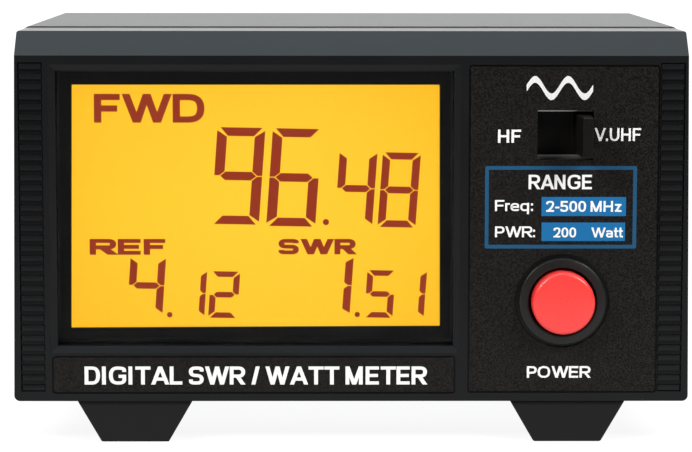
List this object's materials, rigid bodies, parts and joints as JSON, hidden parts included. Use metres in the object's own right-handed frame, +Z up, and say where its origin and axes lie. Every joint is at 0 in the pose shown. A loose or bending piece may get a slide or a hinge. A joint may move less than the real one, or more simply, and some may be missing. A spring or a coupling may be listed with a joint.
{
  "type": "digital standing wave ratio meter",
  "caption": "Desktop digital SWR and power meter with an amber display, band lever, push switch, folded steel case, feet and rear UHF sockets.",
  "frame": {"origin": "bottom centre of the whole instrument, on the surface that the feet stand on", "axes": "+Z up, -Y out of the display, +X to the right seen from the front"},
  "size_m": [0.1546, 0.1364, 0.0932],
  "materials": {
    "bezel_plastic": "fine satin moulded black ABS",
    "lens_acrylic": "polished acrylic window with a black printed border",
    "printed_film": "fine-grained black polycarbonate overlay with printed legends",
    "black_moulding": "black moulded plastic",
    "display_glass": "amber-lit liquid crystal cell",
    "light_guide": "clear moulded light guide",
    "contact_rubber": "layered silicone contact strip",
    "circuit_board": "green solder-masked glass-fibre board",
    "zinc_steel": "bright zinc-plated steel",
    "brown_laminate": "paper laminate switch base",
    "contact_brass": "gold-flashed brass",
    "ring_metal": "satin black moulded ring",
    "red_cap": "satin red moulded cap",
    "white_moulding": "cream moulded insulator",
    "painted_steel": "satin charcoal baked paint on folded steel",
    "black_screw": "black oxide steel",
    "foot_rubber": "matt black rubber",
    "nickel_plate": "bright nickel-plated brass",
    "tinned_steel": "bright tinned steel",
    "ferrite": "grey ferrite",
    "wire_insulation": "PVC insulated hook-up wire"
  },
  "bodies": {
    "case": {"front_bezel": "bezel_plastic", "display_lens": "lens_acrylic", "name_plate": "printed_film", "control_plate": "printed_film", "lcd_frame": "black_moulding", "lcd_glass": "display_glass", "backlight": "light_guide", "contact_strips": "contact_rubber", "display_board": "circuit_board", "board_components": "black_moulding", "board_screws": "zinc_steel", "band_switch_frame": "zinc_steel", "band_switch_base": "brown_laminate", "band_switch_screws": "zinc_steel", "power_switch_body": "ring_metal", "power_switch_nut": "zinc_steel", "power_switch_washer": "zinc_steel", "power_switch_spring": "zinc_steel", "power_switch_base": "black_moulding", "power_switch_terminals": "contact_brass", "top_cover": "painted_steel", "bottom_chassis": "zinc_steel", "rear_panel": "painted_steel", "cover_screws": "black_screw", "bezel_screws": "zinc_steel", "panel_screws": "black_screw", "front_left_foot": "foot_rubber", "front_right_foot": "foot_rubber", "rear_left_foot": "foot_rubber", "rear_right_foot": "foot_rubber", "foot_screws": "zinc_steel", "hf_tx_shell": "nickel_plate", "hf_ant_shell": "nickel_plate", "vu_tx_shell": "nickel_plate", "vu_ant_shell": "nickel_plate", "hf_tx_insulator": "white_moulding", "hf_ant_insulator": "white_moulding", "vu_tx_insulator": "white_moulding", "vu_ant_insulator": "white_moulding", "hf_tx_contact": "contact_brass", "hf_ant_contact": "contact_brass", "vu_tx_contact": "contact_brass", "vu_ant_contact": "contact_brass", "socket_screws": "nickel_plate", "hf_coupler_box": "tinned_steel", "vu_coupler_box": "tinned_steel", "hf_line": "contact_brass", "hf_toroid": "ferrite", "vu_line": "contact_brass", "hf_sensor_board": "circuit_board", "vu_sensor_board": "circuit_board", "dc_jack": "black_moulding", "dc_jack_pin": "zinc_steel", "dc_jack_nut": "zinc_steel", "supply_wires": "wire_insulation", "sensor_wires": "wire_insulation"},
    "band_slider": {"band_switch_knob": "black_moulding", "band_switch_wipers": "contact_brass"},
    "power_button": {"power_switch_cap": "red_cap", "power_switch_plunger": "white_moulding"}
  },
  "joints": [
    {"name": "band_slide", "type": "slide", "parent": "case", "child": "band_slider", "axis": [1, 0, 0], "range_m": [-0.0086, 0]},
    {"name": "power_press", "type": "slide", "parent": "case", "child": "power_button", "axis": [0, 1, 0], "range_m": [0, 0.003], "stiffness_N_per_m": 600, "deforming": ["power_switch_spring"]}
  ]
}
